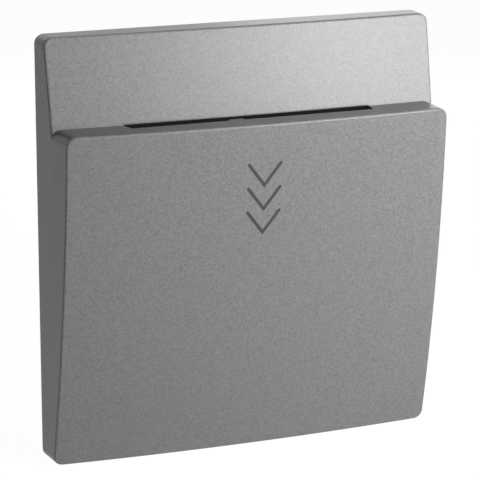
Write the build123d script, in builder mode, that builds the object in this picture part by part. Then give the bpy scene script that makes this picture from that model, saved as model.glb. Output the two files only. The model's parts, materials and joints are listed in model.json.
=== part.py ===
from build123d import *
import math
import os

# Hotel key card switch, in millimetres. X runs right, Y into the wall and Z up.
# The origin is the centre of the plate on the wall plane. A depth is a distance
# from the wall plane towards the room, so it lies at Y = -depth.

# Front moulding
plate_width = 86.0
plate_height = 90.0
plate_corner_radius = 2.0
side_draft = 3.3
cover_wall = 1.8
edge_radius = 0.45
inner_corner_radius = 0.6

# Sloped strip above the card slot, measured at its sides
strip_height = 18.25
strip_top_depth = 5.05
strip_foot_depth = 8.5
strip_crown = 1.3

# Bulging pocket front below the ledge, measured at its sides
pocket_top_depth = 16.9
pocket_foot_depth = 6.35
pocket_belly = 1.65
pocket_crown = 1.9
shoulder_radius = 2.2

# Card slot in the ledge
slot_play = 0.45
slot_taper = 0.65
slot_front_depth = 12.8
slot_step = 0.06
nub_width = 4.4
nub_tip_width = 2.8
nub_offset = 3.6
nub_reach = 1.8
nub_drop = 0.15
nub_thickness = 1.0

# Printed chevrons
chevron_half_width = 3.5
chevron_rise = 4.5
chevron_stroke = 0.65
chevron_pitch = 5.08
chevron_drop = 12.9
chevron_count = 3
ink_thickness = 0.04

# Card and the sleeve that guides it
card_margin = 16.0
card_side_play = 0.35
card_gap = 1.8
card_lean = 5.4
sleeve_wall = 1.0
sleeve_floor_depth = 4.2
sleeve_floor_margin = 4.0
throat_height = 9.0
mouth_back_depth = 9.2
mouth_front_depth = 12.8
tongue_side_gap = 0.3
tongue_play = 0.1

# Screwed ears of the sleeve and the cover's bosses
ear_thickness = 1.5
ear_width = 7.0
ear_reach = 7.2
ear_upper_drop = 8.75
ear_lower_rise = 17.0
ear_upper_depth = 8.3
ear_lower_depth = 4.6
boss_offset = 4.65
boss_diameter = 5.0
sleeve_screw_diameter = 2.2
sleeve_screw_length = 4.5
sleeve_screw_head_diameter = 4.2
sleeve_screw_head_height = 1.4

# Hooks that hold the cover to the frame
hook_side_inset = 6.0
hook_end_inset = 13.0
hook_thickness = 1.6
hook_width = 6.0
barb_reach = 0.8
barb_height = 0.9
barb_back_gap = 0.1

# Mounting frame
frame_thickness = 2.0
frame_gap = 0.4
frame_corner_radius = 1.5
window_gap = 0.3
barb_pocket_depth = 1.1

# Box screws, beside the housing at the standard centres
box_screw_gap = 5.15
box_screw_diameter = 3.5
box_screw_length = 25.0
box_screw_neck_diameter = 2.9
box_screw_head_diameter = 7.0
box_screw_head_height = 2.3
box_slot_width = 3.9
box_slot_length = 6.5

# Rear housing
housing_width = 50.0
housing_height = 50.0
housing_depth = 24.0
housing_wall = 1.6
housing_corner_radius = 2.0
housing_boss_diameter = 5.0
housing_boss_depth = 8.4
housing_screw_diameter = 2.2
housing_screw_length = 7.0
housing_screw_head_diameter = 4.4
housing_screw_head_height = 1.5
rib_thickness = 1.2
shelf_front = 14.0

# Lever, its pin and its bearing cheeks
pivot_y = 3.0
pivot_drop = 21.4
pin_diameter = 2.0
pin_overhang = 0.3
pin_running_clearance = 0.05
pin_seat_clearance = 0.02
hub_diameter = 6.4
hub_length = 11.8
cheek_gap = 0.3
cheek_thickness = 2.0
cheek_depth = 6.2
cheek_half_height = 3.0
lever_gap = 0.3
nose_width = 8.0
nose_tip_depth = 9.3
nose_tip_drop = 15.8
nose_tip_flat = 1.2
nose_root_depth = 4.9
nose_top_drop = 10.3
nose_bottom_drop = 19.2
nose_back_depth = 3.4
nose_lower_depth = 6.0
nose_play = 1.6
nose_drop = 2.0
nose_tip_radius = 0.5
tail_length = 12.5
tail_width = 5.2
arm_thickness = 2.4
bar_overhang = 2.3
bar_front = 5.2
bar_depth = 3.6
stop_x = 12.0
stop_width = 3.0
stop_height = 2.0
aperture_rise = 5.5

# Return spring and its seat
spring_reach = 10.0
spring_diameter = 4.6
spring_wire = 0.45
spring_pitch = 1.5
spring_top_rise = 13.0
seat_thickness = 2.0
seat_width = 5.2
seat_front_gap = 2.6
seat_peg_diameter = 3.2
seat_peg_length = 2.5

# Microswitches
switch_end_gap = 0.4
switch_height = 10.2
switch_thickness = 6.4
switch_wall = 1.0
switch_inner_x = 3.2
switch_front_y = 6.8
plunger_offset = 2.0
plunger_width = 2.6
plunger_thickness = 2.4
plunger_reach = 1.3
plunger_play = 0.15
plunger_top = 3.3
plunger_flange_width = 4.4
plunger_flange_thickness = 3.4
plunger_flange_bottom = 1.2
plunger_flange_height = 0.8
peg_terminal_gap = 4.0
peg_height = 7.4
peg_diameter = 2.1
peg_hole_diameter = 2.3
peg_boss_diameter = 4.2
peg_end = 0.4

# Contacts and terminals, with heights above the plunger side of the case
terminal_inset = 2.9
strip_metal = 0.8
strip_metal_width = 3.2
strip_play = 0.1
foot_length = 3.2
blade_bottom = 4.2
blade_thickness = 0.3
blade_width = 3.0
blade_pivot_inset = 0.4
blade_roll_diameter = 0.6
blade_roll_gap = 0.05
blade_end_margin = 1.2
contact_diameter = 2.4
contact_height = 0.5
contact_gap = 0.85
rest_rib_width = 1.2
rest_rib_gap = 0.1

# Wire clamps, seen from behind
clamp_width = 6.0
clamp_depth = 10.0
clamp_height = 7.0
clamp_top_gap = 0.4
clamp_shelf_gap = 0.05
strip_entry = 3.6
wire_rise = 2.4
wire_bore_diameter = 3.4
wire_bore_depth = 8.4
wire_hole_diameter = 4.2
clamp_screw_y = 16.0
clamp_screw_diameter = 2.9
clamp_screw_length = 2.6
clamp_screw_head_diameter = 4.2
clamp_screw_head_height = 1.5
clamp_screw_hole_diameter = 5.0

# Shared clearances
thread_clearance = 0.02
through_clearance = 0.2
drive_width = 0.7
drive_depth = 0.7
overrun = 2.0

# Places and sizes that follow from these: the cover and the sleeve
half_width = plate_width / 2
half_height = plate_height / 2
ledge_z = half_height - strip_height
lean = math.tan(math.radians(side_draft))
strip_slope = (strip_foot_depth - strip_top_depth) / strip_height
strip_root_z = ledge_z - shoulder_radius - edge_radius
card_width = plate_width - 2 * card_margin
slot_back_width = card_width + 2 * slot_play
slot_front_width = slot_back_width - 2 * slot_taper
card_tilt = math.tan(math.radians(card_lean))
sleeve_floor_z = cover_wall + sleeve_floor_margin - sleeve_wall - half_height
sleeve_half_width = card_width / 2 + card_side_play
sleeve_mouth_z = ledge_z - cover_wall
throat_z = sleeve_mouth_z - throat_height
tongue_half_width = slot_back_width / 2 - tongue_side_gap
boss_x = sleeve_half_width + boss_offset
ear_upper_z = ledge_z - ear_upper_drop
ear_lower_z = ear_lower_rise - half_height
hook_x = half_width - hook_side_inset
hook_z = half_height - hook_end_inset

# The housing, the screws beside it and the lever hung from its top
housing_inner_x = housing_width / 2 - housing_wall
housing_inner_z = housing_height / 2 - housing_wall
housing_inner_y = housing_depth - housing_wall
housing_boss_x = housing_inner_x - housing_boss_diameter / 2
housing_boss_z = housing_inner_z - housing_boss_diameter / 2
box_screw_x = housing_width / 2 + box_screw_gap
pivot_z = housing_inner_z - pivot_drop
arm_top_z = pivot_z + arm_thickness / 2
nose_tip_z = pivot_z - nose_tip_drop
nose_top_z = pivot_z - nose_top_drop
nose_bottom_z = pivot_z - nose_bottom_drop
aperture_top_z = pivot_z + aperture_rise
spring_top_z = pivot_z + spring_top_rise
spring_y = pivot_y + spring_reach

# The switches over the lever's bar, and the clamps over the switches
switch_length = housing_inner_x - switch_inner_x - switch_end_gap
terminal_offset = switch_length / 2 - terminal_inset
peg_spacing = 2 * (terminal_offset - peg_terminal_gap)
case_bottom_z = arm_top_z + plunger_play + plunger_reach
switch_centre_x = switch_inner_x + switch_length / 2
case_back_y = switch_front_y + switch_thickness - switch_wall
switch_back_y = switch_front_y + switch_thickness
switch_middle_y = switch_front_y + switch_thickness / 2
bar_length = 2 * (switch_centre_x + plunger_offset + bar_overhang)
clamp_front_y = switch_middle_y + strip_metal / 2
clamp_top_z = housing_inner_z - clamp_top_gap
clamp_bottom_z = clamp_top_z - clamp_height
strip_top_z = clamp_bottom_z + strip_entry
wire_z = clamp_bottom_z + wire_rise
sides = {"left": -1, "right": 1}

os.makedirs("parts", exist_ok=True)


def hand_over(piece, name):
    """Label a finished piece and write it."""
    piece.part.label = name
    export_step(piece.part, f"parts/{name}.step")


# Shapes that several pieces share


def crown_radius(crown):
    """Radius of the arc that rises by the crown over half the plate's width."""
    return (half_width**2 + crown**2) / (2 * crown)


def crown_axle(crown):
    """Distance behind the wall plane of the vertical axis that a front is arched about."""
    return crown_radius(crown) - crown


def crown_sweep(crown):
    """Degrees of the arc that reach past both sides of the plate."""
    return 2 * math.degrees(math.asin((half_width + overrun) / crown_radius(crown)))


def crown_plane(crown):
    """Upright plane through that axis, turned to the arc's left end."""
    start = math.radians(crown_sweep(crown) / 2)
    towards_room = (-math.sin(start), -math.cos(start), 0)
    across = (-math.cos(start), math.sin(start), 0)
    return Plane(origin=(0, crown_axle(crown), 0), x_dir=towards_room, z_dir=across)


def strip_depth(z):
    """Depth of the sloped strip at its sides."""
    return strip_top_depth + strip_slope * (half_height - z)


def pocket_arc():
    """Radius and centre, as depth and height, of the pocket front's side profile."""
    height = ledge_z + half_height
    fall = pocket_top_depth - pocket_foot_depth
    chord = math.hypot(height, fall)
    radius = (chord**2 / 4 + pocket_belly**2) / (2 * pocket_belly)
    reach = (radius - pocket_belly) / chord
    centre_depth = (pocket_top_depth + pocket_foot_depth) / 2 - reach * height
    centre_z = (ledge_z - half_height) / 2 + reach * fall
    return radius, centre_depth, centre_z


def pocket_depth(z, inset=0.0):
    """Depth of the pocket front at its sides, or of a face inset from it."""
    radius, centre_depth, centre_z = pocket_arc()
    return centre_depth + math.sqrt((radius - inset) ** 2 - (z - centre_z) ** 2)


def front_view(depth, low_z, high_z, low_radius, high_radius, inset):
    """Outline of the moulding at a depth, with its drafted sides."""
    width = plate_width - 2 * (inset + depth * lean)
    with BuildSketch(Plane.XZ.offset(depth)) as view:
        with Locations((0, (low_z + high_z) / 2)):
            Rectangle(width, high_z - low_z)
        fillet(view.vertices().group_by(Axis.Y)[0], low_radius)
        fillet(view.vertices().group_by(Axis.Y)[-1], high_radius)
    return view.sketch


def drafted_block(low_z, high_z, low_radius, high_radius, inset):
    """Block with drafted sides, from the wall plane past the deepest front."""
    back = -overrun if inset else 0.0
    front = pocket_top_depth + pocket_crown + overrun
    with BuildPart() as block:
        add(front_view(back, low_z, high_z, low_radius, high_radius, inset))
        add(front_view(front, low_z, high_z, low_radius, high_radius, inset))
        loft(ruled=True)
    return block.part


def strip_block(inset=0.0):
    """Upper part of the moulding's form, under the sloped strip."""
    top = half_height + overrun
    root = strip_root_z - overrun
    reach = crown_radius(strip_crown) - inset
    back = crown_axle(strip_crown) - overrun
    with BuildPart() as block:
        with BuildSketch(crown_plane(strip_crown)):
            with BuildLine():
                Polyline(
                    (back, root),
                    (back, top),
                    (reach + strip_depth(top), top),
                    (reach + strip_depth(root), root),
                    close=True,
                )
            make_face()
        revolve(
            axis=Axis((0, crown_axle(strip_crown), 0), (0, 0, 1)),
            revolution_arc=crown_sweep(strip_crown),
        )
        corner = max(plate_corner_radius - inset, inner_corner_radius)
        add(
            drafted_block(strip_root_z, half_height - inset, inner_corner_radius, corner, inset),
            mode=Mode.INTERSECT,
        )
    return block


def pocket_block(inset=0.0, rise=0.0):
    """Lower part of the form, under the arched pocket front."""
    top = ledge_z + overrun
    bottom = -half_height - overrun
    reach = crown_radius(pocket_crown) + rise
    back = crown_axle(pocket_crown) - overrun
    with BuildPart() as block:
        with BuildSketch(crown_plane(pocket_crown)):
            with BuildLine():
                arc = ThreePointArc(
                    (reach + pocket_depth(top, inset), top),
                    (reach + pocket_depth(0, inset), 0),
                    (reach + pocket_depth(bottom, inset), bottom),
                )
                Polyline(arc @ 1, (back, bottom), (back, top), arc @ 0)
            make_face()
        revolve(
            axis=Axis((0, crown_axle(pocket_crown), 0), (0, 0, 1)),
            revolution_arc=crown_sweep(pocket_crown),
        )
        foot = max(plate_corner_radius - inset, inner_corner_radius)
        shoulder = max(shoulder_radius - inset, inner_corner_radius)
        add(
            drafted_block(inset - half_height, ledge_z - inset, foot, shoulder, inset),
            mode=Mode.INTERSECT,
        )
    return block


def front_form(inset):
    """Whole form of the moulding, or the hollow behind its wall when inset."""
    strip = strip_block(inset)
    pocket = pocket_block(inset)
    if not inset:
        front = strip.faces().sort_by(Axis.Y)[0]
        with strip:
            fillet(front.edges().sort_by(Axis.Z)[1:], edge_radius)
        front = pocket.faces().sort_by(Axis.Y)[0]
        with pocket:
            fillet(front.edges(), edge_radius)
    with BuildPart() as form:
        add(strip.part)
        add(pocket.part)
    return form.part


def round_screw(plane, head_diameter, head_height, diameter, length):
    """Screw with a slotted cylindrical head on the plane and its shank below."""
    with BuildPart() as screw:
        with BuildSketch(plane):
            Circle(head_diameter / 2)
        extrude(amount=head_height)
        with BuildSketch(plane):
            Circle(diameter / 2)
        extrude(amount=-length)
        with BuildSketch(plane.offset(head_height)):
            Rectangle(head_diameter + overrun, drive_width)
        extrude(amount=-drive_depth, mode=Mode.SUBTRACT)
    return screw.part


# Front cover


def slot_outline():
    """Plan of the card slot, whose back edge follows the strip's arch."""
    reach = crown_radius(strip_crown) + strip_foot_depth - slot_step
    axle = crown_axle(strip_crown)
    back_x = slot_back_width / 2
    front_x = slot_front_width / 2
    back_y = axle - math.sqrt(reach**2 - back_x**2)
    with BuildSketch(Plane.XY.offset(ledge_z + cover_wall)) as plan:
        with BuildLine():
            arch = ThreePointArc((-back_x, back_y), (0, axle - reach), (back_x, back_y))
            Polyline(arch @ 1, (front_x, -slot_front_depth), (-front_x, -slot_front_depth), arch @ 0)
        make_face()
    return plan.sketch


def nub_outline():
    """Plan of the nub on the slot's front edge, which keeps the card to the back."""
    with BuildSketch(Plane.XY.offset(ledge_z - nub_drop)) as plan:
        with BuildLine():
            Polyline(
                (-nub_offset - nub_width / 2, -slot_front_depth - nub_thickness),
                (-nub_offset + nub_width / 2, -slot_front_depth - nub_thickness),
                (-nub_offset + nub_width / 2, -slot_front_depth),
                (-nub_offset + nub_tip_width / 2, nub_reach - slot_front_depth),
                (-nub_offset - nub_tip_width / 2, nub_reach - slot_front_depth),
                (-nub_offset - nub_width / 2, -slot_front_depth),
                close=True,
            )
        make_face()
    return plan.sketch


boss_places = [
    (sign * boss_x, z, depth + ear_thickness)
    for sign in sides.values()
    for z, depth in ((ear_upper_z, ear_upper_depth), (ear_lower_z, ear_lower_depth))
]

with BuildPart() as cover_details:
    for x, z, depth in boss_places:
        with BuildSketch(Plane.XZ.offset(depth)):
            with Locations((x, z)):
                Circle(boss_diameter / 2)
        extrude(amount=pocket_top_depth)
    with BuildSketch(Plane.XZ.offset(barb_back_gap)):
        with GridLocations(2 * hook_x, 2 * hook_z, 2, 2):
            Rectangle(hook_thickness, hook_width)
    extrude(amount=pocket_top_depth)
    add(front_form(cover_wall / 2), mode=Mode.INTERSECT)
    with BuildSketch(Plane.XZ.offset(barb_back_gap)):
        with GridLocations(2 * hook_x + barb_reach, 2 * hook_z, 2, 2):
            Rectangle(hook_thickness + barb_reach, hook_width)
    extrude(amount=barb_height)

with BuildPart() as front_cover:
    add(front_form(0.0))
    add(front_form(cover_wall), mode=Mode.SUBTRACT)
    add(cover_details.part)
    extrude(slot_outline(), amount=-2 * cover_wall - edge_radius, mode=Mode.SUBTRACT)
    with BuildSketch(Plane.XY.offset(ledge_z + tongue_play)):
        recess_back = strip_foot_depth - cover_wall - tongue_play
        recess_front = strip_foot_depth + strip_crown + tongue_play
        with Locations((0, -(recess_back + recess_front) / 2)):
            Rectangle(2 * (tongue_half_width + tongue_play), recess_front - recess_back)
    extrude(amount=-2 * cover_wall, mode=Mode.SUBTRACT)
    extrude(nub_outline(), amount=-nub_thickness)
    for x, z, depth in boss_places:
        with BuildSketch(Plane.XZ.offset(depth)):
            with Locations((x, z)):
                Circle(sleeve_screw_diameter / 2 + thread_clearance)
        extrude(amount=sleeve_screw_length - ear_thickness + through_clearance, mode=Mode.SUBTRACT)

hand_over(front_cover, "front_cover")

# Printed chevrons, as thin pads of ink on the pocket front


def chevron(tip_z):
    """One chevron in front view, with rounded ends and a sharp tip."""
    slant = math.hypot(chevron_half_width, chevron_rise)
    tip_drop = chevron_stroke / 2 * slant / chevron_half_width
    side_x = chevron_stroke / 2 * chevron_rise / slant
    side_z = chevron_stroke / 2 * chevron_half_width / slant
    end_z = tip_z + chevron_rise
    with BuildSketch(Plane.XZ) as view:
        for sign in sides.values():
            end_x = sign * chevron_half_width
            with BuildLine():
                Polyline(
                    (0, tip_z - tip_drop),
                    (end_x + sign * side_x, end_z - side_z),
                    (end_x - sign * side_x, end_z + side_z),
                    (0, tip_z + tip_drop),
                    close=True,
                )
            make_face()
            with Locations((end_x, end_z)):
                Circle(chevron_stroke / 2)
    return view.sketch


with BuildPart() as arrow_prints:
    for index in range(chevron_count):
        extrude(
            chevron(ledge_z - chevron_drop - index * chevron_pitch),
            amount=pocket_top_depth + pocket_crown + overrun,
        )
    add(pocket_block(rise=ink_thickness).part, mode=Mode.INTERSECT)
    add(pocket_block().part, mode=Mode.SUBTRACT)

hand_over(arrow_prints, "arrow_prints")

# Card sleeve


def card_depth(z):
    """Depth of the card's middle plane."""
    return sleeve_floor_depth + (z - sleeve_floor_z) * card_tilt


def sleeve_profile(wall, top_z):
    """Side view of the sleeve's hollow, or of its outside when given a wall."""
    floor_z = sleeve_floor_z - wall
    half_gap = card_gap / 2 + wall
    with BuildSketch(Plane.YZ) as profile:
        with BuildLine():
            Polyline(
                (-(mouth_back_depth - wall), top_z),
                (-(card_depth(throat_z) - half_gap), throat_z),
                (-(card_depth(sleeve_floor_z) - half_gap), floor_z),
                (-(card_depth(sleeve_floor_z) + half_gap), floor_z),
                (-(card_depth(throat_z) + half_gap), throat_z),
                (-(mouth_front_depth + wall), top_z),
                close=True,
            )
        make_face()
    return profile.sketch


with BuildPart() as card_sleeve:
    outside = sleeve_profile(sleeve_wall, sleeve_mouth_z)
    extrude(outside, amount=sleeve_half_width + sleeve_wall, both=True)
    for z, depth in ((ear_upper_z, ear_upper_depth), (ear_lower_z, ear_lower_depth)):
        with BuildSketch(Plane.XZ.offset(depth)):
            with Locations((0, z)):
                Rectangle(2 * (sleeve_half_width + ear_reach), ear_width)
        extrude(amount=ear_thickness)
    hollow = sleeve_profile(0.0, sleeve_mouth_z)
    extrude(hollow, amount=sleeve_half_width, both=True, mode=Mode.SUBTRACT)
    for z, depth in ((ear_upper_z, ear_upper_depth), (ear_lower_z, ear_lower_depth)):
        with BuildSketch(Plane.XZ.offset(depth)):
            with Locations(*[(sign * boss_x, z) for sign in sides.values()]):
                Circle(sleeve_screw_diameter / 2 + through_clearance)
        extrude(amount=ear_thickness, mode=Mode.SUBTRACT)
    with BuildSketch(Plane.XZ):
        window_top = nose_top_z + nose_play
        window_bottom = nose_bottom_z - nose_drop
        with Locations((0, (window_top + window_bottom) / 2)):
            Rectangle(nose_width + 2 * lever_gap, window_top - window_bottom)
    extrude(amount=nose_tip_depth + sleeve_wall + overrun, mode=Mode.SUBTRACT)
    with BuildSketch(Plane.XY.offset(sleeve_mouth_z)):
        with Locations((0, -mouth_back_depth + sleeve_wall / 2)):
            Rectangle(2 * tongue_half_width, sleeve_wall)
    extrude(amount=cover_wall)

hand_over(card_sleeve, "card_sleeve")

with BuildPart() as sleeve_screws:
    for x, z, depth in boss_places:
        add(
            round_screw(
                Plane((x, ear_thickness - depth, z), x_dir=(1, 0, 0), z_dir=(0, 1, 0)),
                sleeve_screw_head_diameter,
                sleeve_screw_head_height,
                sleeve_screw_diameter,
                sleeve_screw_length,
            )
        )

hand_over(sleeve_screws, "sleeve_screws")

# Mounting frame


def frame_plate():
    """Outline of the frame, which fits inside the cover's rim."""
    width = plate_width - 2 * (cover_wall + frame_gap + frame_thickness * lean)
    height = plate_height - 2 * (cover_wall + frame_gap)
    with BuildSketch(Plane.XZ) as plate:
        RectangleRounded(width, height, frame_corner_radius)
    return plate.sketch


def box_screw_places():
    """Both places of the box screws, in front view."""
    return [(sign * box_screw_x, 0) for sign in sides.values()]


def housing_screw_places():
    """The four places of the housing screws, in front view."""
    return [(x * housing_boss_x, z * housing_boss_z) for x in sides.values() for z in sides.values()]


def peg_places():
    """Places of the pegs that carry the microswitches, in front view."""
    return [
        (sign * switch_centre_x + offset * peg_spacing / 2, case_bottom_z + peg_height)
        for sign in sides.values()
        for offset in sides.values()
    ]


def upright(x, y, z):
    """Plane at a place that faces the wall, for screws driven into the wall."""
    return Plane((x, y, z), x_dir=(1, 0, 0), z_dir=(0, -1, 0))


with BuildPart() as mounting_frame:
    extrude(frame_plate(), amount=frame_thickness)
    with BuildSketch(Plane.XZ):
        aperture_bottom = nose_bottom_z - nose_drop - lever_gap
        with Locations((0, (aperture_top_z + aperture_bottom) / 2)):
            Rectangle(hub_length + 2 * lever_gap, aperture_top_z - aperture_bottom)
        with Locations(*box_screw_places()):
            SlotOverall(box_slot_length, box_slot_width, rotation=90)
        with Locations(*housing_screw_places()):
            Circle(housing_screw_diameter / 2 + through_clearance)
        with GridLocations(2 * hook_x, 2 * hook_z, 2, 2):
            Rectangle(hook_thickness + 2 * window_gap, hook_width + 2 * window_gap)
    extrude(amount=frame_thickness, mode=Mode.SUBTRACT)
    with BuildSketch(Plane.XZ):
        with GridLocations(2 * hook_x + barb_reach, 2 * hook_z, 2, 2):
            Rectangle(hook_thickness + barb_reach + 2 * window_gap, hook_width + 2 * window_gap)
    extrude(amount=barb_pocket_depth, mode=Mode.SUBTRACT)
    with BuildSketch(Plane.XZ):
        cheek_spacing = hub_length + 2 * cheek_gap + cheek_thickness
        with Locations((-cheek_spacing / 2, pivot_z), (cheek_spacing / 2, pivot_z)):
            Rectangle(cheek_thickness, 2 * cheek_half_height)
    extrude(amount=-cheek_depth)
    with BuildSketch(Plane.XZ):
        stop_top_z = pivot_z - arm_thickness / 2
        with Locations(*[(sign * stop_x, stop_top_z - stop_height / 2) for sign in sides.values()]):
            Rectangle(stop_width, stop_height)
    extrude(amount=-(pivot_y + bar_front + bar_depth))
    with BuildSketch(Plane.XZ):
        with Locations(*peg_places()):
            Circle(peg_boss_diameter / 2)
    extrude(amount=-switch_front_y)
    with BuildSketch(Plane.XZ):
        with Locations(*peg_places()):
            Circle(peg_diameter / 2)
    extrude(amount=-(switch_back_y + peg_end))
    with BuildSketch(Plane.YZ):
        with Locations((pivot_y, pivot_z)):
            Circle(pin_diameter / 2 + pin_seat_clearance)
    extrude(amount=cheek_spacing, both=True, mode=Mode.SUBTRACT)

hand_over(mounting_frame, "mounting_frame")

with BuildPart() as fixing_screws:
    for x, z in box_screw_places():
        add(
            round_screw(
                upright(x, -frame_thickness, z),
                box_screw_head_diameter,
                box_screw_head_height,
                box_screw_diameter,
                box_screw_length,
            )
        )
    with BuildSketch(Plane.XZ):
        with Locations(*box_screw_places()):
            Circle(box_screw_diameter / 2)
            Circle(box_screw_neck_diameter / 2, mode=Mode.SUBTRACT)
    extrude(amount=frame_thickness, mode=Mode.SUBTRACT)

hand_over(fixing_screws, "fixing_screws")

with BuildPart() as housing_screws:
    for x, z in housing_screw_places():
        add(
            round_screw(
                upright(x, -frame_thickness, z),
                housing_screw_head_diameter,
                housing_screw_head_height,
                housing_screw_diameter,
                housing_screw_length + frame_thickness,
            )
        )

hand_over(housing_screws, "housing_screws")

# Rear housing

clamp_xs = [
    sign * (switch_centre_x + offset * terminal_offset)
    for sign in sides.values()
    for offset in sides.values()
]
clamp_back_y = clamp_front_y + clamp_depth
shelf_top_z = clamp_bottom_z - clamp_shelf_gap
seat_front_y = spring_y - seat_front_gap

with BuildPart() as rear_housing:
    with BuildSketch(Plane.XZ):
        RectangleRounded(housing_width, housing_height, housing_corner_radius)
    extrude(amount=-housing_depth)
    rim = rear_housing.faces().sort_by(Axis.Y)[-1].edges()
    chamfer(rim, housing_corner_radius / 2)
    with BuildSketch(Plane.XZ):
        RectangleRounded(2 * housing_inner_x, 2 * housing_inner_z, inner_corner_radius)
    extrude(amount=-housing_inner_y, mode=Mode.SUBTRACT)
    with BuildSketch(Plane.XZ):
        for x, z in housing_screw_places():
            with Locations((x, z)):
                Circle(housing_boss_diameter / 2)
            with Locations((x + math.copysign(housing_boss_diameter / 4, x), z)):
                Rectangle(housing_boss_diameter / 2, housing_boss_diameter)
    extrude(amount=-housing_boss_depth)
    with BuildSketch(Plane.XZ):
        with Locations(*housing_screw_places()):
            Circle(housing_screw_diameter / 2 + thread_clearance)
    extrude(amount=-(housing_screw_length + through_clearance), mode=Mode.SUBTRACT)
    with BuildSketch(Plane.XZ.offset(-shelf_front)):
        shelf_width = housing_inner_x - seat_width / 2
        shelf_x = (housing_inner_x + seat_width / 2) / 2
        with Locations(*[(sign * shelf_x, shelf_top_z - rib_thickness / 2) for sign in sides.values()]):
            Rectangle(shelf_width, rib_thickness)
        with Locations(
            *[(sign * switch_centre_x, (shelf_top_z + housing_inner_z) / 2) for sign in sides.values()]
        ):
            Rectangle(rib_thickness, housing_inner_z - shelf_top_z)
    extrude(amount=shelf_front - housing_inner_y)
    with BuildSketch(Plane.XZ.offset(-seat_front_y)):
        with Locations((0, spring_top_z + seat_thickness / 2)):
            Rectangle(seat_width, seat_thickness)
    extrude(amount=seat_front_y - housing_inner_y)
    with BuildSketch(Plane.XY.offset(spring_top_z)):
        with Locations((0, spring_y)):
            Circle(seat_peg_diameter / 2)
    extrude(amount=-seat_peg_length)
    with BuildSketch(Plane.XZ.offset(-housing_inner_y)):
        with Locations(*[(x, wire_z) for x in clamp_xs]):
            Circle(wire_hole_diameter / 2)
    extrude(amount=-housing_wall, mode=Mode.SUBTRACT)
    with BuildSketch(Plane.XY.offset(housing_inner_z)):
        with Locations(*[(x, clamp_screw_y) for x in clamp_xs]):
            Circle(clamp_screw_hole_diameter / 2)
    extrude(amount=housing_wall, mode=Mode.SUBTRACT)

hand_over(rear_housing, "rear_housing")

# Actuator lever and its pin

nose_outline = [
    (pivot_y - hub_diameter / 2, pivot_z + arm_thickness / 2),
    (-nose_root_depth, nose_top_z),
    (-nose_tip_depth, nose_tip_z + nose_tip_flat / 2),
    (-nose_tip_depth, nose_tip_z - nose_tip_flat / 2),
    (-nose_lower_depth, nose_bottom_z),
    (-nose_back_depth, nose_bottom_z),
    (pivot_y + arm_thickness / 2, pivot_z - hub_diameter / 2),
    (pivot_y + arm_thickness / 2, pivot_z + arm_thickness / 2),
]

with BuildPart() as actuator_lever:
    with BuildSketch(Plane.YZ):
        with BuildLine():
            Polyline(*nose_outline, close=True)
        make_face()
    extrude(amount=nose_width / 2, both=True)
    tip_edges = actuator_lever.edges().filter_by(Axis.X).sort_by(Axis.Y)[:2]
    fillet(tip_edges, nose_tip_radius)
    with BuildSketch(Plane.YZ):
        with Locations((pivot_y, pivot_z)):
            Circle(hub_diameter / 2)
    extrude(amount=hub_length / 2, both=True)
    with BuildSketch(Plane.XY.offset(arm_top_z)):
        with Locations((0, pivot_y + tail_length / 2)):
            Rectangle(tail_width, tail_length)
        with Locations((0, pivot_y + bar_front + bar_depth / 2)):
            Rectangle(bar_length, bar_depth)
    extrude(amount=-arm_thickness)
    with BuildSketch(Plane.YZ):
        with Locations((pivot_y, pivot_z)):
            Circle(pin_diameter / 2 + pin_running_clearance)
    extrude(amount=hub_length, both=True, mode=Mode.SUBTRACT)

hand_over(actuator_lever, "actuator_lever")

with BuildPart() as lever_pin:
    with BuildSketch(Plane.YZ):
        with Locations((pivot_y, pivot_z)):
            Circle(pin_diameter / 2)
    extrude(amount=hub_length / 2 + cheek_gap + cheek_thickness + pin_overhang, both=True)

hand_over(lever_pin, "lever_pin")

# Return spring, one wire wound up from the lever's tail to its seat

spring_bottom_z = arm_top_z + spring_wire / 2
spring_height = spring_top_z - spring_wire / 2 - spring_bottom_z
spring_radius = (spring_diameter - spring_wire) / 2

with BuildPart() as return_spring:
    with BuildLine():
        coil = Helix(spring_pitch, spring_height, spring_radius, center=(0, spring_y, spring_bottom_z))
    with BuildSketch(Plane(origin=coil @ 0, z_dir=coil % 0)):
        Circle(spring_wire / 2)
    sweep(path=coil)

print("return_spring least gap between turns", round(spring_pitch - spring_wire, 3))
hand_over(return_spring, "return_spring")

# Microswitches, one on each side of the spring, mirrored about the middle


def switch_box(side, low, high, start_y, end_y, mode=Mode.ADD):
    """Block of a microswitch between two corners, measured outwards and up from its case."""
    centre = side * (switch_centre_x + (low[0] + high[0]) / 2)
    with BuildSketch(Plane.XZ.offset(-start_y)) as outline:
        with Locations((centre, case_bottom_z + (low[1] + high[1]) / 2)):
            Rectangle(high[0] - low[0], high[1] - low[1])
    extrude(outline.sketch, amount=start_y - end_y, mode=mode)


def switch_rounds(side, diameter, start_y, end_y, mode=Mode.ADD):
    """Cylinders of a microswitch around its two pegs."""
    with BuildSketch(Plane.XZ.offset(-start_y)) as outline:
        with Locations(*[place for place in peg_places() if place[0] * side > 0]):
            Circle(diameter / 2)
    extrude(outline.sketch, amount=start_y - end_y, mode=mode)


def stand_disc(side, offset, low, high):
    """Upright round contact of a microswitch."""
    with BuildSketch(Plane.XY.offset(case_bottom_z + low)) as outline:
        with Locations((side * (switch_centre_x + offset), switch_middle_y)):
            Circle(contact_diameter / 2)
    extrude(outline.sketch, amount=high - low)


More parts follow.
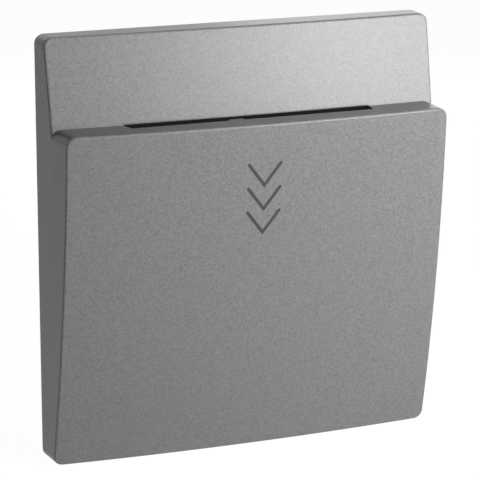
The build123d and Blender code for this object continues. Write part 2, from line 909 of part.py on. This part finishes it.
half_length = switch_length / 2
blade_top = blade_bottom + blade_thickness
contact_top = blade_top + contact_height
load_contact_bottom = contact_top + contact_gap
load_foot_bottom = load_contact_bottom + contact_height
blade_start = -terminal_offset - blade_end_margin
blade_end = terminal_offset + blade_pivot_inset
blade_middle = blade_bottom + blade_thickness / 2
common_foot_bottom = blade_middle + blade_roll_diameter / 2 + blade_roll_gap
strip_front_y = switch_middle_y - strip_metal / 2
strip_back_y = switch_middle_y + strip_metal / 2
strip_end = strip_top_z - case_bottom_z

for name, side in sides.items():
    with BuildPart() as switch_case:
        switch_box(side, (-half_length, 0), (half_length, switch_height), switch_front_y, case_back_y)
        switch_box(
            side,
            (switch_wall - half_length, switch_wall),
            (half_length - switch_wall, switch_height - switch_wall),
            switch_front_y + switch_wall,
            case_back_y,
            Mode.SUBTRACT,
        )
        switch_rounds(side, peg_boss_diameter, switch_front_y, case_back_y)
        switch_box(
            side,
            (-terminal_offset - rest_rib_width / 2, 0),
            (-terminal_offset + rest_rib_width / 2, blade_bottom - rest_rib_gap),
            switch_front_y,
            case_back_y,
        )
        switch_box(
            side,
            (plunger_offset - plunger_width / 2 - plunger_play, 0),
            (plunger_offset + plunger_width / 2 + plunger_play, switch_wall),
            switch_middle_y - plunger_thickness / 2 - plunger_play,
            switch_middle_y + plunger_thickness / 2 + plunger_play,
            Mode.SUBTRACT,
        )
        for offset in (-terminal_offset, terminal_offset):
            switch_box(
                side,
                (offset - strip_metal_width / 2 - strip_play, switch_height - switch_wall),
                (offset + strip_metal_width / 2 + strip_play, switch_height),
                strip_front_y - strip_play,
                strip_back_y + strip_play,
                Mode.SUBTRACT,
            )
        switch_rounds(side, peg_hole_diameter, switch_front_y, case_back_y, Mode.SUBTRACT)
    hand_over(switch_case, f"switch_case_{name}")

    with BuildPart() as switch_cover:
        switch_box(side, (-half_length, 0), (half_length, switch_height), case_back_y, switch_back_y)
        switch_rounds(side, peg_hole_diameter, case_back_y, switch_back_y, Mode.SUBTRACT)
    hand_over(switch_cover, f"switch_cover_{name}")

    with BuildPart() as switch_plunger:
        switch_box(
            side,
            (plunger_offset - plunger_width / 2, -plunger_reach),
            (plunger_offset + plunger_width / 2, plunger_top),
            switch_middle_y - plunger_thickness / 2,
            switch_middle_y + plunger_thickness / 2,
        )
        switch_box(
            side,
            (plunger_offset - plunger_flange_width / 2, plunger_flange_bottom),
            (plunger_offset + plunger_flange_width / 2, plunger_flange_bottom + plunger_flange_height),
            switch_middle_y - plunger_flange_thickness / 2,
            switch_middle_y + plunger_flange_thickness / 2,
        )
    hand_over(switch_plunger, f"switch_plunger_{name}")

    with BuildPart() as contact_blade:
        with BuildSketch(Plane.XZ.offset(blade_width / 2 - switch_middle_y)) as outline:
            blade_x = side * (switch_centre_x + (blade_start + blade_end) / 2)
            with Locations((blade_x, case_bottom_z + blade_middle)):
                Rectangle(blade_end - blade_start, blade_thickness)
            with Locations((side * (switch_centre_x + blade_end), case_bottom_z + blade_middle)):
                Circle(blade_roll_diameter / 2)
        extrude(outline.sketch, amount=-blade_width)
        stand_disc(side, -terminal_offset, blade_top, contact_top)
    hand_over(contact_blade, f"contact_blade_{name}")

    with BuildPart() as common_terminal:
        switch_box(
            side,
            (terminal_offset - foot_length / 2, common_foot_bottom),
            (terminal_offset + foot_length / 2, common_foot_bottom + strip_metal),
            switch_middle_y - blade_width / 2,
            switch_middle_y + blade_width / 2,
        )
        switch_box(
            side,
            (terminal_offset - strip_metal_width / 2, common_foot_bottom),
            (terminal_offset + strip_metal_width / 2, strip_end),
            strip_front_y,
            strip_back_y,
        )
    hand_over(common_terminal, f"common_terminal_{name}")

    with BuildPart() as load_terminal:
        stand_disc(side, -terminal_offset, load_contact_bottom, load_foot_bottom)
        switch_box(
            side,
            (-terminal_offset - foot_length / 2, load_foot_bottom),
            (-terminal_offset + foot_length / 2, load_foot_bottom + strip_metal),
            switch_middle_y - blade_width / 2,
            switch_middle_y + blade_width / 2,
        )
        switch_box(
            side,
            (-terminal_offset - strip_metal_width / 2, load_foot_bottom),
            (-terminal_offset + strip_metal_width / 2, strip_end),
            strip_front_y,
            strip_back_y,
        )
    hand_over(load_terminal, f"load_terminal_{name}")

# Wire clamps and their screws

for number, x in enumerate(sorted(clamp_xs), start=1):
    with BuildPart() as wire_clamp:
        with BuildSketch(Plane.XZ.offset(-clamp_front_y)):
            with Locations((x, (clamp_bottom_z + clamp_top_z) / 2)):
                Rectangle(clamp_width, clamp_top_z - clamp_bottom_z)
        extrude(amount=-clamp_depth)
        with BuildSketch(Plane.XZ.offset(-clamp_back_y)):
            with Locations((x, wire_z)):
                Circle(wire_bore_diameter / 2)
        extrude(amount=wire_bore_depth, mode=Mode.SUBTRACT)
        with BuildSketch(Plane.XY.offset(clamp_top_z)):
            with Locations((x, clamp_screw_y)):
                Circle(clamp_screw_diameter / 2 + thread_clearance)
        extrude(amount=wire_z - clamp_top_z, mode=Mode.SUBTRACT)
    hand_over(wire_clamp, f"wire_clamp_{number}")

with BuildPart() as clamp_screws:
    for x in clamp_xs:
        add(
            round_screw(
                Plane.XY.offset(clamp_top_z).move(Location((x, clamp_screw_y, 0))),
                clamp_screw_head_diameter,
                clamp_screw_head_height,
                clamp_screw_diameter,
                clamp_screw_length,
            )
        )

hand_over(clamp_screws, "clamp_screws")
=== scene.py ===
import json
import math

import bpy
from mathutils import Matrix, Vector

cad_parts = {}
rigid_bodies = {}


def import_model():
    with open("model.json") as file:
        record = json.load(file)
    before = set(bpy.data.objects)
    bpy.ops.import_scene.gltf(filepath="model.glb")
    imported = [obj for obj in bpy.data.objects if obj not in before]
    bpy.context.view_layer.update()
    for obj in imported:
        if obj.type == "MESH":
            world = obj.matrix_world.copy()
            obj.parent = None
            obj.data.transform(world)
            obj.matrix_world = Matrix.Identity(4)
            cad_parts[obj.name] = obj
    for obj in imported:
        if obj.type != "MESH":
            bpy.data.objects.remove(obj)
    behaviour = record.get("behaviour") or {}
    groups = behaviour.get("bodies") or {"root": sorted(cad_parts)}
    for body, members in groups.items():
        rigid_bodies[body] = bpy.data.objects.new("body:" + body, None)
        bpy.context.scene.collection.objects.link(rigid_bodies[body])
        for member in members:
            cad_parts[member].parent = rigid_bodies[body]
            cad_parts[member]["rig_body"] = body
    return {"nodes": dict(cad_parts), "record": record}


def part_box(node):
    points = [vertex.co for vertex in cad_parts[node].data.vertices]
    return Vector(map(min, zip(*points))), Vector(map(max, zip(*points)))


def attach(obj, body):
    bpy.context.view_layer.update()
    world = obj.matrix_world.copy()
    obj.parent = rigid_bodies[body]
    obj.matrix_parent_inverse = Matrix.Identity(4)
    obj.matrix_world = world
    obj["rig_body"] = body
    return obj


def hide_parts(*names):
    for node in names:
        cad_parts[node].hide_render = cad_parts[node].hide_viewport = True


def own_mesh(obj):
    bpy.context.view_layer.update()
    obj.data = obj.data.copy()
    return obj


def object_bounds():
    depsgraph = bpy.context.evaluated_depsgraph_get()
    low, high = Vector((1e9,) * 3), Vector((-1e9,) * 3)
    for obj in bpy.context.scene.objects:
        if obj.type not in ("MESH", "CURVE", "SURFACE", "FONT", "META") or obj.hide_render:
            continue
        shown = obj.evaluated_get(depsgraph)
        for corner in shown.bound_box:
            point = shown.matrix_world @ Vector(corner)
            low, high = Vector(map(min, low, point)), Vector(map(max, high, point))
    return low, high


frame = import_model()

# Hotel key card switch, in metres. X runs right, Y into the wall and Z up.

cad_low, cad_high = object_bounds()
mm = 0.001


# Camera, from the front left and above


def place_camera(azimuth, elevation, distance, aim, lens):
    """Camera that looks at a point measured right and up in its own view."""
    turn = math.radians(azimuth)
    rise = math.radians(elevation)
    back = Vector(
        (math.sin(turn) * math.cos(rise), -math.cos(turn) * math.cos(rise), math.sin(rise))
    )
    right = Vector((math.cos(turn), math.sin(turn), 0))
    up = back.cross(right)
    data = bpy.data.cameras.new("camera")
    data.lens = lens
    data.sensor_width = 36
    data.clip_start = 0.01
    data.clip_end = 50
    camera = bpy.data.objects.new("camera", data)
    bpy.context.scene.collection.objects.link(camera)
    turned = Matrix((right, up, back)).transposed()
    camera.rotation_euler = turned.to_euler()
    camera.location = right * aim[0] + up * aim[1] + back * distance
    bpy.context.scene.camera = camera


place_camera(
    azimuth=-22.144,
    elevation=14.278,
    distance=522.07 * mm,
    aim=(1.734 * mm, -1.918 * mm),
    lens=184.157,
)


# Finishes


class Value:
    """Output of a shader node that can stand in a sum or a product."""

    def __init__(self, finish, socket):
        self.finish = finish
        self.socket = socket

    def maths(self, operation, first, second):
        sockets = {"Value": first, "Value_001": second}
        return self.finish.node("Math", {"operation": operation}, sockets)["Value"]

    def __add__(self, other):
        return self.maths("ADD", self, other)

    def __radd__(self, other):
        return self.maths("ADD", other, self)

    def __mul__(self, other):
        return self.maths("MULTIPLY", self, other)

    def __rmul__(self, other):
        return self.maths("MULTIPLY", other, self)


class Finish:
    """Nodes of one material, or of the room's light."""

    def __init__(self, holder):
        self.holder = holder
        holder.use_nodes = True
        self.tree = holder.node_tree
        self.tree.nodes.clear()

    def node(self, kind, settings=None, sockets=None):
        """New node with its settings made first, then the values or links of its sockets."""
        made = self.tree.nodes.new("ShaderNode" + kind)
        for name, setting in (settings or {}).items():
            setattr(made, name, setting)
        inputs = {socket.identifier: socket for socket in made.inputs}
        for name, given in (sockets or {}).items():
            if isinstance(given, Value):
                self.tree.links.new(given.socket, inputs[name])
            else:
                inputs[name].default_value = given
        return {output.identifier: Value(self, output) for output in made.outputs}

    def place(self, stretch=(1, 1, 1)):
        """Place on the piece in metres, stretched along its axes."""
        coordinates = self.node("TexCoord")["Object"]
        return self.node("Mapping", {}, {"Vector": coordinates, "Scale": stretch})["Vector"]

    def noise(self, scale, detail=2.0, stretch=(1, 1, 1)):
        """Soft noise between 0 and 1, with so many waves to the metre."""
        sockets = {"Vector": self.place(stretch), "Scale": scale, "Detail": detail}
        return self.node("TexNoise", {}, sockets)["Fac"]

    def flakes(self, scale):
        """A random value in each cell, with so many cells to the metre."""
        sockets = {"Vector": self.place(), "Scale": scale}
        colour = self.node("TexVoronoi", {}, sockets)["Color"]
        return self.node("SeparateColor", {}, {"Color": colour})["Red"]

    def between(self, share, first, second):
        """Colour between two colours."""
        sockets = {"Factor_Float": share, "A_Color": (*first, 1), "B_Color": (*second, 1)}
        return self.node("Mix", {"data_type": "RGBA"}, sockets)["Result_Color"]

    def bump(self, height, strength, depth):
        """Surface normal of a relief of this depth in metres."""
        sockets = {"Height": height, "Strength": strength, "Distance": depth}
        return self.node("Bump", {}, sockets)["Normal"]

    def done(self, sockets):
        """Principled surface with the sockets given."""
        surface = self.node("BsdfPrincipled", {}, sockets)["BSDF"]
        self.node("OutputMaterial", {}, {"Surface": surface})
        return self.holder


def new_finish(name):
    """Empty material to be filled with nodes."""
    return Finish(bpy.data.materials.new(name))


def paint():
    """Dark silver metallic paint, satin, with fine flakes and a faint orange peel."""
    finish = new_finish("graphite_paint")
    flake = finish.flakes(3600)
    cloud = finish.noise(1500, 3)
    peel = finish.noise(420, 2)
    share = flake * 0.6 + cloud * 0.4
    return finish.done(
        {
            "Base Color": finish.between(share, (0.17, 0.17, 0.17), (0.28, 0.28, 0.28)),
            "Metallic": 0.12,
            "Specular IOR Level": 0.12,
            "Roughness": 0.28 + 0.06 * flake,
            "Normal": finish.bump(flake * 0.35 + peel, 0.3, 0.015 * mm),
        }
    )


def ink():
    """Printed chevrons, dark grey ink, matt."""
    finish = new_finish("arrow_ink")
    grain = finish.noise(2600, 3)
    return finish.done(
        {
            "Base Color": finish.between(grain, (0.045, 0.045, 0.046), (0.085, 0.085, 0.087)),
            "Specular IOR Level": 0.2,
            "Roughness": 0.50 + 0.15 * grain,
            "Normal": finish.bump(grain, 0.3, 0.01 * mm),
        }
    )


def moulded(name, dark, light, grain_size, gloss, specular):
    """Moulded plastic with a fine eroded texture and faint flow marks."""
    finish = new_finish(name)
    grain = finish.noise(1 / grain_size, 3)
    flow = finish.noise(60, 4, (1, 1, 2.5))
    return finish.done(
        {
            "Base Color": finish.between(flow * 0.7 + grain * 0.3, dark, light),
            "Specular IOR Level": specular,
            "Roughness": gloss + 0.14 * grain,
            "Normal": finish.bump(grain, 0.35, 0.015 * mm),
        }
    )


def plated():
    """Zinc plating over steel, with a faint bluish bloom."""
    finish = new_finish("zinc_steel")
    bloom = finish.noise(700, 4)
    grain = finish.noise(5200, 2)
    return finish.done(
        {
            "Base Color": finish.between(bloom, (0.50, 0.51, 0.53), (0.70, 0.70, 0.68)),
            "Metallic": 1.0,
            "Roughness": 0.26 + 0.16 * bloom,
            "Normal": finish.bump(grain, 0.2, 0.006 * mm),
        }
    )


def drawn(name, dark, light, stretch, gloss):
    """Bright metal with fine marks drawn out along one direction."""
    finish = new_finish(name)
    marks = finish.noise(3600, 3, stretch)
    bloom = finish.noise(420, 3)
    return finish.done(
        {
            "Base Color": finish.between(bloom * 0.6 + marks * 0.4, dark, light),
            "Metallic": 1.0,
            "Roughness": gloss + 0.14 * marks,
            "Normal": finish.bump(marks, 0.25, 0.008 * mm),
        }
    )


# Mouldings: dark and light tone, size of the grain, gloss and specular level

mouldings = {
    "black_plastic": ((0.008, 0.008, 0.008), (0.016, 0.016, 0.017), 0.4 * mm, 0.55, 0.08),
    "frame_plastic": ((0.26, 0.26, 0.27), (0.34, 0.34, 0.35), 0.5 * mm, 0.44, 0.35),
    "housing_plastic": ((0.60, 0.60, 0.57), (0.72, 0.72, 0.70), 0.5 * mm, 0.40, 0.35),
    "lever_plastic": ((0.72, 0.69, 0.61), (0.84, 0.82, 0.75), 0.6 * mm, 0.30, 0.35),
    "switch_plastic": ((0.020, 0.020, 0.021), (0.038, 0.038, 0.040), 0.4 * mm, 0.40, 0.35),
    "button_plastic": ((0.60, 0.06, 0.05), (0.78, 0.12, 0.09), 0.4 * mm, 0.30, 0.35),
}

# Metals: dark and light tone, stretch of the marks along X, Y and Z, and gloss

metals = {
    "bright_steel": ((0.58, 0.58, 0.59), (0.72, 0.72, 0.73), (0.08, 1, 1), 0.16),
    "spring_steel": ((0.42, 0.42, 0.43), (0.56, 0.56, 0.57), (1, 1, 0.2), 0.24),
    "spring_copper": ((0.62, 0.34, 0.20), (0.78, 0.47, 0.31), (0.1, 1, 1), 0.22),
    "brass": ((0.66, 0.48, 0.20), (0.84, 0.66, 0.34), (1, 0.12, 1), 0.20),
}

finishes = {"graphite_paint": paint(), "arrow_ink": ink(), "zinc_steel": plated()}
for name, look in mouldings.items():
    finishes[name] = moulded(name, *look)
for name, look in metals.items():
    finishes[name] = drawn(name, *look)


def wear(piece, slot):
    """Give a piece the finish of a slot."""
    piece.data.materials.clear()
    piece.data.materials.append(finishes[slot])


for part in frame["record"]["subparts"]:
    wear(frame["nodes"][part["node"]], part["material_slot"])


# Screws, modelled head up and then turned into their places

thread_steps = 4
round_sides = 32
recess_width = 0.75 * mm
facing_down = -0.9
level_play = 0.01 * mm
level_edge = 0.001 * mm
step_play_share = 0.1
thread_depth_share = 0.6
crown_share = 0.45
brim_share = 0.08
tip_share = 0.6
cross_share = 1.25
slit_share = 2.4
recess_depth_share = 0.55
recess_taper = (0.7, 0.6, 1)
smooth_angle = math.radians(35)


def start(name, kind, **settings):
    """New primitive, with nothing else selected."""
    bpy.ops.object.select_all(action="DESELECT")
    getattr(bpy.ops.mesh, f"primitive_{kind}_add")(**settings)
    piece = bpy.context.object
    piece.name = name
    return piece


def pick(piece, kind, test):
    """Select the faces or edges that pass a test of their place or normal."""
    bpy.ops.object.mode_set(mode="EDIT")
    bpy.ops.mesh.select_mode(type={"polygons": "FACE", "edges": "EDGE"}[kind])
    bpy.ops.mesh.select_all(action="DESELECT")
    bpy.ops.object.mode_set(mode="OBJECT")
    for item in getattr(piece.data, kind):
        item.select = test(item)
    bpy.ops.object.mode_set(mode="EDIT")


def edge_height(piece, edge):
    """Height of a level edge, or nothing for one that rises."""
    first, second = (piece.data.vertices[index].co.z for index in edge.vertices)
    return first if abs(first - second) < level_edge else math.inf


def extrude(length):
    """Draw the selected face out, down the screw."""
    bpy.ops.mesh.extrude_region_move(TRANSFORM_OT_translate={"value": (0, 0, -length)})


def apply_modifier(piece, kind, **settings):
    """Add a modifier and apply it."""
    bpy.ops.object.mode_set(mode="OBJECT")
    bpy.context.view_layer.objects.active = piece
    modifier = piece.modifiers.new(kind.lower(), kind)
    for name, setting in settings.items():
        setattr(modifier, name, setting)
    bpy.ops.object.modifier_apply(modifier=modifier.name)


def cut_recess(piece, length, width, depth, top):
    """Cut one bar of the recess, narrower towards its floor."""
    sides = (length, width, 2 * depth)
    tool = start("recess_tool", "cube", size=1, location=(0, 0, top), scale=sides)
    bpy.ops.object.transform_apply(location=True, rotation=True, scale=True)
    pick(tool, "polygons", lambda face: face.normal.z < facing_down)
    bpy.ops.transform.resize(value=recess_taper)
    apply_modifier(piece, "BOOLEAN", operation="DIFFERENCE", object=tool, solver="EXACT")
    bpy.data.objects.remove(tool)


def screw(name, head, shank, pitch, neck=(0, 0), bars=1):
    """Pan-headed screw, head up, with its thread wound round the shank."""
    head_radius, head_height = head
    shank_radius, length = shank
    neck_radius, neck_length = neck
    core = shank_radius - thread_depth_share * pitch
    piece = start(
        name,
        "cylinder",
        vertices=round_sides,
        radius=head_radius,
        depth=head_height,
        location=(0, 0, head_height / 2),
    )
    bpy.ops.object.transform_apply(location=True, rotation=True, scale=True)
    pick(piece, "edges", lambda edge: abs(edge_height(piece, edge) - head_height) < level_play)
    bpy.ops.mesh.bevel(offset=crown_share * head_height, segments=5, affect="EDGES")
    pick(piece, "edges", lambda edge: abs(edge_height(piece, edge)) < level_play)
    bpy.ops.mesh.bevel(offset=brim_share * head_height, segments=2, affect="EDGES")
    pick(
        piece,
        "polygons",
        lambda face: face.normal.z < facing_down and abs(face.center.z) < level_play,
    )
    first = neck_radius or core
    bpy.ops.mesh.inset(thickness=head_radius - brim_share * head_height - first)
    if neck_length:
        extrude(neck_length)
        bpy.ops.transform.resize(value=(core / neck_radius, core / neck_radius, 1))
    step = pitch / thread_steps
    turns = math.floor((length - neck_length - core / 2) / step)
    for _ in range(turns):
        extrude(step)
    extrude(length - neck_length - turns * step)
    bpy.ops.transform.resize(value=(tip_share, tip_share, 1))
    bpy.ops.object.mode_set(mode="OBJECT")
    thread_low = -neck_length - turns * step
    play = step_play_share * step
    for vertex in piece.data.vertices:
        x, y, z = vertex.co
        if thread_low - play < z < -neck_length - play:
            phase = (z / pitch + math.atan2(y, x) / math.tau) % 1
            fade = min(1, (z - thread_low) / pitch, (-neck_length - z) / pitch)
            grown = 1 + (shank_radius / core - 1) * fade * (1 - abs(2 * phase - 1))
            vertex.co.x *= grown
            vertex.co.y *= grown
    for bar in range(bars):
        share = cross_share if bars == 2 else slit_share
        size = (share * head_radius, recess_width)
        sides = size if bar == 0 else size[::-1]
        cut_recess(piece, *sides, recess_depth_share * head_height, head_height)
    return piece


def drive_in(model, name, node, slot, places, turned):
    """Copies of a screw at their places, joined as the piece that stands for a node."""
    copies = []
    for place in places:
        copy = bpy.data.objects.new(name, model.data.copy())
        bpy.context.scene.collection.objects.link(copy)
        copy.data.transform(Matrix.Translation(place) @ turned)
        copies.append(copy)
    bpy.data.objects.remove(model)
    finish_piece(copies, name, node, slot)


def finish_piece(pieces, name, node, slot):
    """Join pieces, smooth them, and let them stand for a CAD node on its body."""
    bpy.ops.object.select_all(action="DESELECT")
    for piece in pieces:
        piece.select_set(True)
    bpy.context.view_layer.objects.active = pieces[0]
    if len(pieces) > 1:
        bpy.ops.object.join()
    piece = bpy.context.object
    piece.name = name
    bpy.ops.object.shade_smooth_by_angle(angle=smooth_angle)
    apply_modifier(piece, "WEIGHTED_NORMAL", mode="FACE_AREA", keep_sharp=True)
    wear(piece, slot)
    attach(piece, frame["nodes"][node]["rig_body"])
    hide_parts(node)


into_wall = Matrix.Rotation(math.radians(90), 4, "X")
out_of_wall = Matrix.Rotation(math.radians(-90), 4, "X")
upright = Matrix.Identity(4)

box_head = (3.5 * mm, 2.3 * mm)
low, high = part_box("fixing_screws")
box_length = high.y - low.y - box_head[1]
box_x = high.x - box_head[0]
box_shank = (1.75 * mm, box_length)
box_neck = (1.45 * mm, 2.2 * mm)
drive_in(
    screw("box_screw", box_head, box_shank, 0.6 * mm, box_neck, bars=2),
    "box_screws",
    "fixing_screws",
    "zinc_steel",
    [(sign * box_x, low.y + box_head[1], 0) for sign in (-1, 1)],
    into_wall,
)

housing_head = (2.2 * mm, 1.5 * mm)
low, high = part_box("housing_screws")
housing_length = high.y - low.y - housing_head[1]
housing_x = high.x - housing_head[0]
housing_z = high.z - housing_head[0]
housing_shank = (1.1 * mm, housing_length)
housing_neck = (1.05 * mm, 2 * mm)
drive_in(
    screw("housing_screw", housing_head, housing_shank, 0.9 * mm, housing_neck, bars=2),
    "case_screws",
    "housing_screws",
    "zinc_steel",
    [
        (x * housing_x, low.y + housing_head[1], z * housing_z)
        for x in (-1, 1)
        for z in (-1, 1)
    ],
    into_wall,
)

sleeve_head = (2.1 * mm, 1.4 * mm)
sleeve_length = 4.5 * mm
low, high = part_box("sleeve_screws")
upper_y = low.y + sleeve_length
lower_y = high.y - sleeve_head[1]
sleeve_shank = (1.1 * mm, sleeve_length)
sleeve_neck = (1.05 * mm, 1 * mm)
drive_in(
    screw("sleeve_screw", sleeve_head, sleeve_shank, 0.9 * mm, sleeve_neck, bars=2),
    "ear_screws",
    "sleeve_screws",
    "zinc_steel",
    [
        (sign * (high.x - sleeve_head[0]), y, z)
        for sign in (-1, 1)
        for y, z in ((upper_y, high.z - sleeve_head[0]), (lower_y, low.z + sleeve_head[0]))
    ],
    out_of_wall,
)

clamp_head = (2.1 * mm, 1.5 * mm)
low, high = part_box("clamp_screws")
clamp_length = high.z - low.z - clamp_head[1]
clamps = [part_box(f"wire_clamp_{number}") for number in range(1, 5)]
drive_in(
    screw("clamp_screw", clamp_head, (1.45 * mm, clamp_length), 0.5 * mm),
    "wire_screws",
    "clamp_screws",
    "zinc_steel",
    [
        ((clamp_low.x + clamp_high.x) / 2, (low.y + high.y) / 2, low.z + clamp_length)
        for clamp_low, clamp_high in clamps
    ],
    upright,
)


# Mouldings with softened edges

flat_angle = math.radians(2)
corner_angle = math.radians(50)


def merged_copy(node, name):
    """Copy of a CAD node with its loose triangles merged."""
    piece = bpy.data.objects.new(name, frame["nodes"][node].data.copy())
    bpy.context.scene.collection.objects.link(piece)
    bpy.ops.object.select_all(action="DESELECT")
    piece.select_set(True)
    bpy.context.view_layer.objects.active = piece
    bpy.ops.object.mode_set(mode="EDIT")
    bpy.ops.mesh.select_all(action="SELECT")
    bpy.ops.mesh.remove_doubles(threshold=0.001 * mm)
    return piece


def slot_of(node):
    """Material slot that the record gives to a node."""
    rows = frame["record"]["subparts"]
    return next(row["material_slot"] for row in rows if row["node"] == node)


def soften(node, name, radius):
    """Copy of a CAD node with its edges rounded, which stands for it."""
    piece = merged_copy(node, name)
    bpy.ops.mesh.dissolve_limited(angle_limit=flat_angle)
    apply_modifier(
        piece,
        "BEVEL",
        width=radius,
        segments=2,
        limit_method="ANGLE",
        angle_limit=corner_angle,
        use_clamp_overlap=True,
    )
    finish_piece([piece], name, node, slot_of(node))


soften("rear_housing", "housing_shell", 0.2 * mm)
soften("mounting_frame", "frame_plate", 0.15 * mm)


# Return spring, which the lever presses against its fixed upper end

coils = merged_copy("return_spring", "spring_coils")
bpy.ops.object.mode_set(mode="OBJECT")
finish_piece([coils], "spring_coils", "return_spring", slot_of("return_spring"))
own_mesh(coils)


# Floor and light

floor_size = 8
floor_white = 1.08
floor_white_share = 0.9
room_level = 0.03

# Lamps: place, point that each faces, size and power

lamps = {
    "key_lamp": ((0.207, -0.389, 0.094), (0.01, 0, 0.01), 0.22, 0.50),
    "front_lamp": ((0.153, -0.421, 0.039), (0.01, 0, 0.01), 0.22, 0.30),
    "near_lamp": ((0.137, -0.163, 0.057), (0.01, 0, 0.01), 0.10, 0.20),
    "upper_lamp": ((0.095, -0.165, 0.11), (0.01, 0, 0.01), 0.10, 0.15),
    "rear_lamp": ((0.260, 0.333, 0.154), (0.01, 0, 0.01), 0.25, 0.22),
    "back_lamp": ((-0.020, 0.440, 0.100), (0, 0, 0), 0.12, 0.25),
    "top_lamp": ((0.040, -0.100, 0.400), (0, -0.01, 0.03), 0.08, 0.10),
}


def lamp(name, place, aim, size, power):
    """Square soft lamp that faces a point."""
    data = bpy.data.lights.new(name, "AREA")
    data.shape = "SQUARE"
    data.size = size
    data.energy = power
    light = bpy.data.objects.new(name, data)
    light.location = place
    light.rotation_euler = (Vector(aim) - Vector(place)).to_track_quat("-Z", "Y").to_euler()
    bpy.context.scene.collection.objects.link(light)


def seen_directly(finish):
    """1 for what the camera, metal or glass sees, and 0 for what lights the object."""
    path = finish.node("LightPath")
    seen = path["Is Camera Ray"] + path["Is Transmission Ray"]
    return seen.maths("MAXIMUM", seen, path["Is Glossy Ray"])


def lay_floor():
    """Pale floor that shows white and keeps the object's shadow."""
    finish = new_finish("floor_finish")
    lit = finish.node("BsdfDiffuse", {}, {"Color": (0.8, 0.8, 0.8, 1)})["BSDF"]
    shine = {"Color": (1, 1, 1, 1), "Strength": floor_white}
    white = finish.node("Emission", {}, shine)["Emission"]
    share = seen_directly(finish) * floor_white_share
    sockets = {"Fac": share, "Shader": lit, "Shader_001": white}
    mixed = finish.node("MixShader", {}, sockets)["Shader"]
    finish.node("OutputMaterial", {}, {"Surface": mixed})
    floor = start("floor", "plane", size=floor_size, location=(0, 0, cad_low.z))
    floor.data.materials.append(finish.holder)


def light_room(level):
    """Even light from all round, which shows white behind the object."""
    world = bpy.data.worlds.new("room")
    bpy.context.scene.world = world
    room = Finish(world)
    share = seen_directly(room)
    sockets = {"Color": (1, 1, 1, 1), "Strength": level + share * (1 - level)}
    sky = room.node("Background", {}, sockets)["Background"]
    room.node("OutputWorld", {}, {"Surface": sky})


lay_floor()
light_room(room_level)
for name, setting in lamps.items():
    lamp(name, *setting)

bpy.context.scene.view_settings.view_transform = "Standard"
